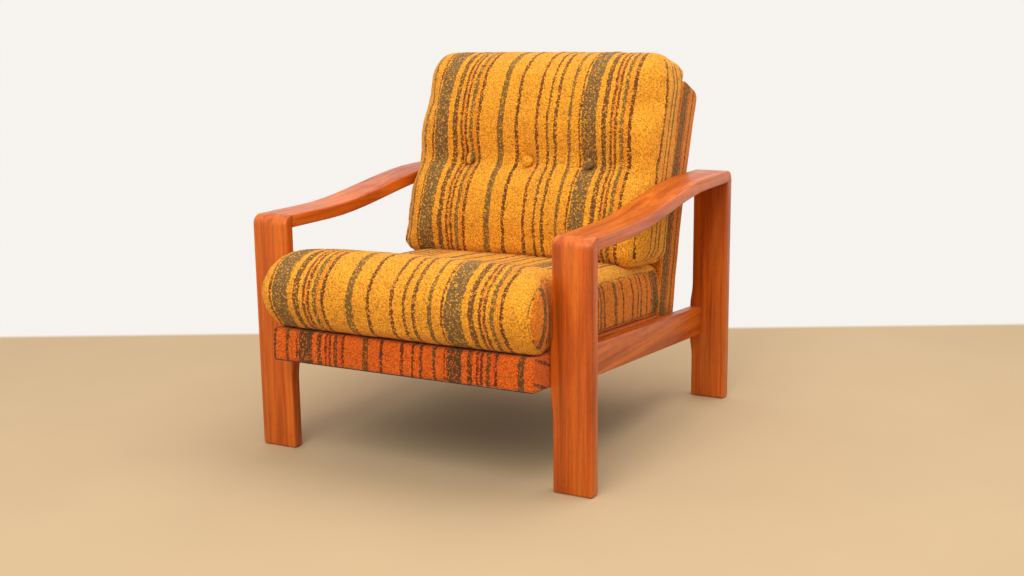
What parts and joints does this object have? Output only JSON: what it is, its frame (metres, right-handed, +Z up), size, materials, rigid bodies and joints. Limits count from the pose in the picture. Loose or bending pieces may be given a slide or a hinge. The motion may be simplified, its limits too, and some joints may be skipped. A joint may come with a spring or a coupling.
{
  "type": "wooden armchair",
  "caption": "Low lounge armchair with solid wood side frames, curved arms, an upholstered seat and back unit, and loose striped cushions.",
  "frame": {"origin": "centre of the bounding box on the floor", "axes": "+X to the right of someone facing the chair's front, +Y towards the chair's back, +Z up"},
  "size_m": [0.72, 0.8438, 0.7544],
  "materials": {
    "teak": "oiled satin teak",
    "beech": "plain beech dowel",
    "pine": "rough sawn softwood",
    "upholstery": "coarse looped wool stripe in ochre, orange and brown",
    "lining": "thin black lining",
    "wadding": "felted wadding",
    "foam": "soft open foam",
    "webbing": "woven elastic webbing",
    "zip": "woven zip tape",
    "zinc_steel": "zinc plated",
    "spring_steel": "dark spring steel",
    "brass": "plain brass"
  },
  "bodies": {
    "chair_frame": {"armrest_left": "teak", "armrest_right": "teak", "back_bottom_rail": "pine", "back_pad": "wadding", "back_panel_cover": "upholstery", "back_stile_left": "pine", "back_stile_right": "pine", "back_strap_1": "webbing", "back_strap_2": "webbing", "back_strap_3": "webbing", "back_strap_4": "webbing", "back_top_rail": "pine", "corner_block_left": "pine", "corner_block_right": "pine", "deck_pad": "wadding", "dust_cover": "lining", "frame_bolt_left_front": "zinc_steel", "frame_bolt_left_rear": "zinc_steel", "frame_bolt_right_front": "zinc_steel", "frame_bolt_right_rear": "zinc_steel", "front_dowel_left_inner": "beech", "front_dowel_left_outer": "beech", "front_dowel_right_inner": "beech", "front_dowel_right_outer": "beech", "front_leg_left": "teak", "front_leg_right": "teak", "rail_insert_left_front": "brass", "rail_insert_left_rear": "brass", "rail_insert_right_front": "brass", "rail_insert_right_rear": "brass", "rear_dowel_left_inner": "beech", "rear_dowel_left_outer": "beech", "rear_dowel_right_inner": "beech", "rear_dowel_right_outer": "beech", "rear_leg_left": "teak", "rear_leg_right": "teak", "seat_box_cover": "upholstery", "seat_front_rail": "pine", "seat_rear_rail": "pine", "seat_side_rail_left": "pine", "seat_side_rail_right": "pine", "seat_spring_1": "spring_steel", "seat_spring_2": "spring_steel", "seat_spring_3": "spring_steel", "seat_spring_4": "spring_steel", "seat_spring_5": "spring_steel", "side_rail_left": "teak", "side_rail_right": "teak", "unit_bolt_left": "zinc_steel", "unit_bolt_right": "zinc_steel"},
    "seat_cushion": {"seat_cushion_core": "foam", "seat_cushion_cover": "upholstery", "seat_cushion_zip": "zip"},
    "back_cushion": {"back_cushion_core": "foam", "back_cushion_cover": "upholstery", "back_cushion_zip": "zip", "back_button_1": "upholstery", "back_button_2": "upholstery", "back_button_3": "upholstery"}
  },
  "joints": [
    {"name": "seat_cushion_slide", "type": "slide", "parent": "chair_frame", "child": "seat_cushion", "axis": [0, -0.9972, 0.075], "range_m": [0, 0.6]},
    {"name": "back_cushion_lift", "type": "slide", "parent": "chair_frame", "child": "back_cushion", "axis": [0, 0, 1], "range_m": [0, 0.45]}
  ]
}
